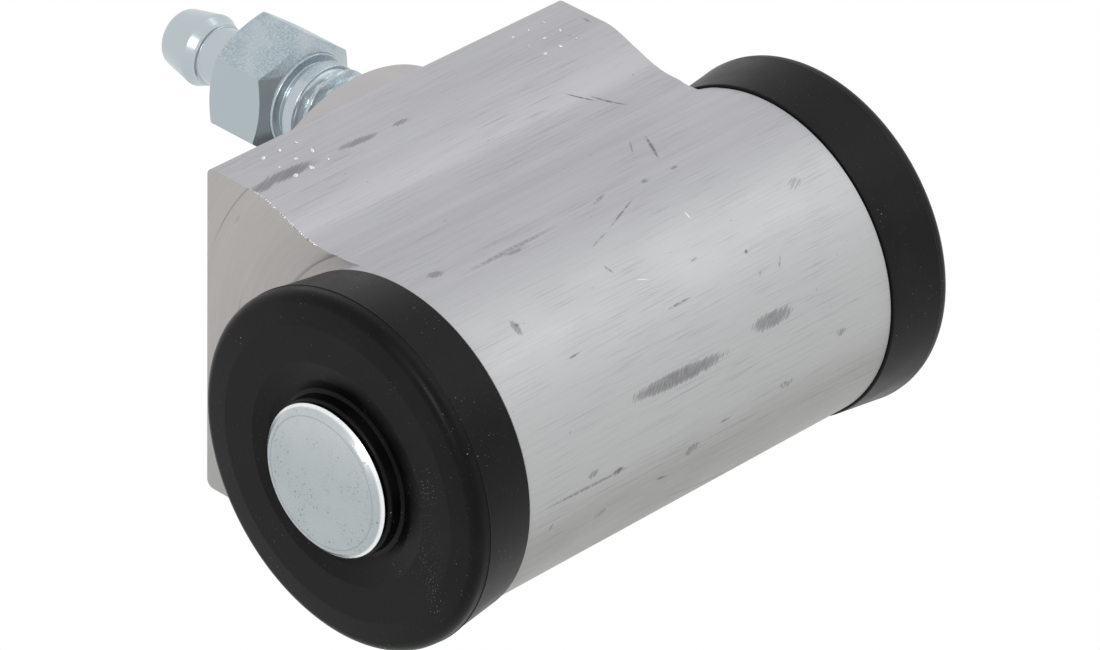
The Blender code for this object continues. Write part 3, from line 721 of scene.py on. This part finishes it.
def burr_rule():
    rule = Rule("edge_burr", Count="Int", Size="Float", Finish="Material")
    line = rule.node("GeometryNodeMeshToCurve")
    rule.put(line.node.inputs[0], rule.entry.outputs["Geometry"])
    points = rule.node("GeometryNodeCurveToPoints", line, rule.given("Count"), mode="COUNT")
    crumb = rule.node("GeometryNodeMeshIcoSphere", rule.given("Size"), 1)
    uneven = rule.random((0.2, 0.15, 0.15), (1.0, 0.5, 0.5), 9)
    turned = rule.random((0, 0, 0), (6.3, 6.3, 6.3), 2)
    crumbs = rule.node("GeometryNodeInstanceOnPoints", points, Instance=crumb, Rotation=turned, Scale=uneven)
    solid = rule.node("GeometryNodeRealizeInstances", crumbs)
    rule.result(rule.node("GeometryNodeSetMaterial", solid, None, rule.given("Finish")))
    return rule


def torn_metal():
    metal = Finish("torn_metal", 0.6)
    metal.surface(metal.tint(metal.grain(0.2), (0.50, 0.50, 0.50), (0.95, 0.95, 0.93)), 0.25)
    return metal.material


def jaw_prints_and_burr():
    bright = torn_metal()
    dots = dot_rule()
    row_y, spacing = -7.1, 1.8
    for name, x, size in (("near", -13.7, 0.23), ("far", 14.1, 0.16)):
        patch = dots.build(name + "_jaw_prints", Spacing=spacing * MM, Radius=size * MM, Finish=bright)
        patch.data.transform(Matrix.Translation((x * MM, row_y * MM, FLANGE_TOP * MM)))
        smooth(patch)
        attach(patch, "cylinder")
    edge = [(y, z) for y, z in bar_section() if 0.010 < y < 0.0172 and z > 0.0125]
    line = bpy.data.meshes.new("edge")
    places = [(-FLANGE_END * MM, BORE_Y * MM + y, z - 0.00003) for y, z in edge]
    line.from_pydata(places, [(i, i + 1) for i in range(len(places) - 1)], [])
    burr = burr_rule().build("edge_burr", line, Count=30, Size=0.24 * MM, Finish=bright)
    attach(burr, "cylinder")


jaw_prints_and_burr()


# Pistons. Two turned and zinc-plated steel pistons, each with a plain skirt in the bore and
# a nose that stands out through its boot and has been pitted by handling.
def plated(name, light, dark, frost=1.0, above=-40, pits=0.0, rim=0.0):
    """Zinc plate: crystals above a height in millimetres, dark pits, and where rim gives a radius, painted light
    on the upper side and a painted highlight on the rim.

    Where that height is over 0, the screw's hexagon is painted darker below it, as painted shade.
    """
    zinc = Finish(name, 0.85)
    sparkle = zinc.grain(0.16, detail=3)
    cloud = zinc.grain(2.2, detail=3)
    height = zinc.part(zinc.place, "Z")
    upper = zinc.between(height, (above - 0.2) * MM, (above + 0.1) * MM, 0.05, frost)
    frosted = zinc.math("MULTIPLY", zinc.between(cloud, 0.36, 0.56, 0.4, 1.0), upper)
    crystals = zinc.math("MULTIPLY", zinc.between(sparkle, 0.62, 0.40), frosted)
    colour = zinc.tint(crystals, light, dark)
    if pits:
        holes = zinc.between(zinc.grain(0.2, detail=1), 0.64, 0.71, 0, pits)
        patch = zinc.between(zinc.grain(2.2), 0.44, 0.58)
        holes = zinc.math("MULTIPLY", holes, patch)
        colour = zinc.tint(holes, colour, (0.12, 0.12, 0.11))
        zinc.relief(zinc.math("SUBTRACT", 1.0, holes), 0.02)
    if rim:
        # Painted light: the nose is painted lighter towards its top, a thin dark ring lies inside the rim, and
        # the rim's chamfer is painted near white as a painted highlight.
        distance = zinc.about(BORE_CENTRE, RIGHT)[0]
        colour = zinc.tint(zinc.between(height, 0, 6 * MM, 0, 0.6), colour, (0.58, 0.61, 0.625))
        off = zinc.math("ABSOLUTE", zinc.math("SUBTRACT", distance, (rim - 0.6) * MM))
        colour = zinc.tint(zinc.between(off, 0.1 * MM, 0, 0, 0.45), colour, (0.20, 0.22, 0.23))
        painted_rim_highlight = zinc.between(distance, (rim - 0.05) * MM, (rim + 0.1) * MM)
        colour = zinc.tint(painted_rim_highlight, colour, (0.85, 0.87, 0.88))
    if above > 0:
        # Painted shade: the hexagon's faces below that height are painted in one darker zinc colour.
        out = zinc.part(zinc.place, "Y")
        past_foot, before_top = zinc.between(out, 7.5 * MM, 7.7 * MM), zinc.between(out, 14 * MM, 13.8 * MM)
        below = zinc.between(height, (above + 0.05) * MM, (above - 0.05) * MM)
        hexagon_painted_shade = zinc.math("MULTIPLY", zinc.math("MULTIPLY", past_foot, before_top), below)
        colour = zinc.tint(hexagon_painted_shade, colour, (0.425, 0.49, 0.52))
    zinc.surface(colour, zinc.between(frosted, 0.0, 0.8, 0.24, 0.42))
    zinc.relief(zinc.math("MULTIPLY", sparkle, frosted), 0.008)
    return zinc.material


def piston(side, along):
    nose, groove, skirt, end, inner_end = 6.4, 5.3, 9.445, 28.8, 12.5
    corners = [
        (0, end, 0), (5.85, end, 0.15), (nose, 28.3, 0.12), (nose, 28.25, 0.05), (groove, 28.25, 0.1),
        (groove, 25.02, 0.1), (nose, 25.02, 0.1), (nose, 22.5, 0.2), (skirt, 22.5, 0.4),
        (skirt, inner_end, 0.4), (0, inner_end, 0),
    ]
    thing = lathe(side + "_piston_dressed", rounded(corners, 5), BORE_CENTRE, along, 128)
    smooth(thing)
    plate = plated(side + "_nose", (0.44, 0.48, 0.495), (0.37, 0.41, 0.43), 0.3, pits=0.8, rim=6.15)
    thing.data.materials.append(plate)
    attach(thing, side + "_piston_set")
    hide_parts(side + "_piston")


piston("left", LEFT)
piston("right", RIGHT)


# Cup seals and spring seats. Moulded rubber cups, whose lips the pressure spreads against
# the bore, and pressed steel seats that sit in them and centre the return spring.
DUSTY = [((-27.2, -35.0, 5.0), (-27.2, -36.2, -8.5), 1.8, 1.0)]


def moulded_rubber(name, dust, black_and_painted_light=0.0015):
    """Satin rubber at a given level of black, raised for the far boot as painted light, with a dull bloom, and
    white dust where dust is over 0.
    """
    rubber = Finish(name)
    bloom = rubber.grain(4, detail=5)
    colour = rubber.tint(rubber.between(bloom, 0.4, 0.75), (black_and_painted_light, black_and_painted_light, black_and_painted_light), (black_and_painted_light + 0.003,) * 3)
    drift = rubber.between(rubber.grain(5), 0.50, 0.66, 0.15, 1.0)
    band = rubber.math("MULTIPLY", rubber.marks(DUSTY), 0.11)
    specks = rubber.between(rubber.math("ADD", rubber.grain(0.13, detail=0), band), 0.80, 0.85, 0, dust)
    specks = rubber.math("MULTIPLY", specks, rubber.math("MAXIMUM", drift, band))
    colour = rubber.tint(specks, colour, (0.30, 0.32, 0.33))
    rubber.surface(colour, rubber.between(bloom, 0.3, 0.7, 0.32, 0.42))
    rubber.shader["Specular IOR Level"].default_value = 0.12
    rubber.relief(rubber.grain(0.25), 0.006)
    return rubber.material


def cup_and_seat(side, along):
    cup = rounded([
        (0, 12.2, 0), (9.0, 12.2, 0.4), (9.045, 9.6, 0.8), (9.445, 7.3, 0.2), (9.4, 7.0, 0.1),
        (8.55, 7.0, 0.2), (7.45, 9.7, 0.5), (7.0, 9.6, 0.2), (0, 9.6, 0),
    ], 5)
    seat = rounded([
        (0, 6.8, 0), (3.0, 6.8, 0.5), (3.6, 9.3, 0.3), (6.6, 9.3, 0.05), (6.6, 8.7, 0.05),
        (4.1, 8.7, 0.4), (3.6, 6.2, 0.7), (0, 6.2, 0),
    ], 5)
    seal = lathe(side + "_cup_dressed", cup, BORE_CENTRE, along, 96)
    seal.data.materials.append(moulded_rubber(side + "_cup_rubber", 0.0))
    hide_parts(side + "_cup_seal")
    pressed = lathe(side + "_seat_dressed", seat, BORE_CENTRE, along, 96)
    pressed.data.materials.append(plated(side + "_seat_steel", (0.5, 0.5, 0.5), (0.38, 0.38, 0.39)))
    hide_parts(side + "_spring_seat")
    for thing in (seal, pressed):
        smooth(thing)
        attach(thing, side + "_piston_set")


cup_and_seat("left", LEFT)
cup_and_seat("right", RIGHT)


# Return spring. Five turns of hard-drawn wire with closed end turns, which keeps both cups
# against their pistons. One wire, modelled as two halves, one turned to each side.
def coil_rule():
    rule = Rule(
        "coil", Turns="Float", Radius="Float", Wire="Float", End_Pitch="Float", Pitch="Float",
        Finish="Material",
    )
    line = rule.node("GeometryNodeCurvePrimitiveLine", End=(1, 0, 0))
    line = rule.node("GeometryNodeResampleCurve", line, None, Count=120)
    share = rule.node("GeometryNodeSplineParameter")
    turns = rule.math("MULTIPLY", share, rule.given("Turns"))
    loose = rule.math("SUBTRACT", rule.given("Turns"), 1.0)
    opened = rule.math("MULTIPLY", rule.math("MINIMUM", turns, loose), rule.given("Pitch"))
    last = rule.math("MAXIMUM", rule.math("SUBTRACT", turns, loose), 0.0)
    closed = rule.math("MULTIPLY", last, rule.given("End Pitch"))
    along = rule.math("ADD", opened, closed)
    angle = rule.math("MULTIPLY", turns, math.tau)
    y = rule.math("MULTIPLY", rule.math("COSINE", angle), rule.given("Radius"))
    z = rule.math("MULTIPLY", rule.math("SINE", angle), rule.given("Radius"))
    path = rule.node("GeometryNodeSetPosition", line, None, rule.node("ShaderNodeCombineXYZ", along, y, z))
    wire = rule.node("GeometryNodeCurvePrimitiveCircle", 14, Radius=rule.given("Wire"))
    solid = rule.node("GeometryNodeCurveToMesh", path, wire, Fill_Caps=True)
    rule.result(rule.node("GeometryNodeSetMaterial", solid, None, rule.given("Finish")))
    return rule


def return_spring():
    steel = plated("spring_wire", (0.46, 0.46, 0.47), (0.34, 0.34, 0.35))
    rule = coil_rule()
    seat_face, play, wire, turns, end_pitch = 8.7, 0.3, 0.5, 2.5, 1.15
    reach = seat_face - play - wire
    for side, along in (("left", LEFT), ("right", RIGHT)):
        half = rule.build(
            side + "_spring_half", Turns=turns, Radius=4.9 * MM, Wire=wire * MM, End_Pitch=end_pitch * MM,
            Pitch=(reach - end_pitch) / (turns - 1) * MM, Finish=steel,
        )
        turn = Matrix.Rotation(0 if side == "right" else math.pi, 4, "Y")
        half.data.transform(Matrix.Translation(BORE_CENTRE) @ turn)
        smooth(half)
        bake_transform(half)
        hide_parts("return_spring")


return_spring()


# Rubber boots. Moulded black rubber caps, each held by a bead in the neck's groove, with a
# collar on the piston's nose, a front hollowed round it and a parting line on the rim.
def boot(side, along, front, seam, black_and_painted_light):
    """A boot whose lip lies at front and parting line at radius seam, both in millimetres."""
    rim, neck, bead, collar = 14.93, 12.2, 11.5, 27.95
    corners = [
        (6.6, collar, 0.35), (6.62, 26.78, 0.08), (6.95, 26.64, 0.25), (7.8, 26.92, 0.5), (9.3, 27.17, 0.9),
        (12.3, 27.17, 2.0), (14.98, front, 1.0), (rim, 25.58, 0.05), (seam, 25.5, 0.03),
        (rim, 25.42, 0.05), (14.35, 20.6, 0.15), (neck, 20.6, 0.1), (neck, 22.0, 0.1),
        (bead, 22.0, 0.1), (bead, 22.6, 0.1), (neck, 22.6, 0.1), (neck, 24.8, 0.1), (13.4, 25.0, 0.2),
        (13.2, 25.6, 0.2), (9.2, 25.6, 0.3), (6.9, 25.32, 0.2), (5.6, 25.32, 0.1), (5.6, collar, 0.15),
    ]
    thing = lathe(side + "_boot_dressed", rounded(corners, 6, closed=True), BORE_CENTRE, along, 180, True)
    smooth(thing, 50)
    thing.data.materials.append(moulded_rubber(side + "_boot_rubber", 0.6, black_and_painted_light))
    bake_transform(thing)
    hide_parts(side + "_boot")


# The far boot's rubber is given a lighter black than the near boot's: painted light on the far boot.
boot("left", LEFT, front=26.92, seam=15.0, black_and_painted_light=0.002)
boot("right", RIGHT, front=26.48, seam=14.95, black_and_painted_light=0.008)


# Bleed screw. A zinc-plated steel screw turned from hexagon bar, with a barbed nipple for
# the bleeding hose, drilled along its axis to a cross hole above its conical tip.
def screw_hexagon():
    """The spanner hexagon, with its corners eased by a cone at each end."""
    flats, corner, inner, outer, slope = 5.0, 5.74, 4.25, 4.8, 0.577
    foot, top, turned, sides = 7.6, 13.85, math.radians(23.8), 120
    grid = bmesh.new()
    rows = [[], [], [], []]
    for k in range(sides):
        angle = math.tau * k / sides
        off = (angle - turned) % (math.pi / 3)
        reach = min(flats / math.cos(off - math.pi / 6), corner)
        near, far = foot + (reach - inner) * slope, top - (reach - outer) * slope
        levels = ((inner, foot), (reach, near), (reach, far), (outer, top))
        for row, (radius, y) in zip(rows, levels):
            around = Vector((radius * math.cos(angle), y, radius * math.sin(angle)))
            row.append(grid.verts.new(BLEED_PORT + around * MM))
    for here, there in zip(rows, rows[1:]):
        for k in range(sides):
            j = (k + 1) % sides
            grid.faces.new([here[k], here[j], there[j], there[k]])
    grid.faces.new(rows[0])
    grid.faces.new(rows[-1])
    return make_object("screw_hexagon", grid)


def bleed_screw():
    corners = [
        (0, 22.5, 0), (2.4, 22.5, 0.9), (3.15, 18.95, 0.3), (2.72, 18.2, 0.08), (2.72, 17.95, 0.05),
        (2.5, 17.85, 0.08), (2.5, 13.2, 0.15), (3.1, 13.2, 0), (3.1, 7.8, 0), (4.2, 7.8, 0), (4.2, 7.3, 0.12),
        (3.5, 7.2, 0.1), (3.5, 6.7, 0.1), (3.95, 6.5, 0.15), (3.95, 5.4, 0.15), (3.3, 5.2, 0.2),
        (3.3, -8.4, 0.1), (3.0, -9.0, 0.1), (3.0, -10.5, 0.1), (1.0, -12.6, 0.1), (0, -12.6, 0),
    ]
    thing = lathe("bleed_screw_dressed", rounded(corners, 6), BLEED_PORT, OUT, 128)
    cut(thing, "UNION", screw_hexagon())
    cut(thing, "UNION", threaded_rod(
        "screw_rod", BLEED_PORT - OUT * 8.6 * MM, length=14.4, pitch=1.25, crest=4.0, root=3.38))
    hole = [(0, 24.0), (1.25, 24.0), (1.0, 22.2), (1.0, -9.6), (0, -10.2)]
    cut(thing, "DIFFERENCE", lathe("axial_hole", sharp(hole), BLEED_PORT, OUT, 64))
    cross = [(0, 4.5), (0.7, 4.5), (0.7, -4.5), (0, -4.5)]
    cross_place = BLEED_PORT - OUT * 9.75 * MM
    cut(thing, "DIFFERENCE", lathe("cross_hole", sharp(cross), cross_place, RIGHT, 48))
    smooth(thing, 28)
    thing.data.materials.clear()
    thing.data.materials.append(plated("bright_zinc", (0.48, 0.54, 0.57), (0.33, 0.41, 0.46), above=11.0))
    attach(thing, "bleeder")
    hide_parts("bleed_screw")


bleed_screw()
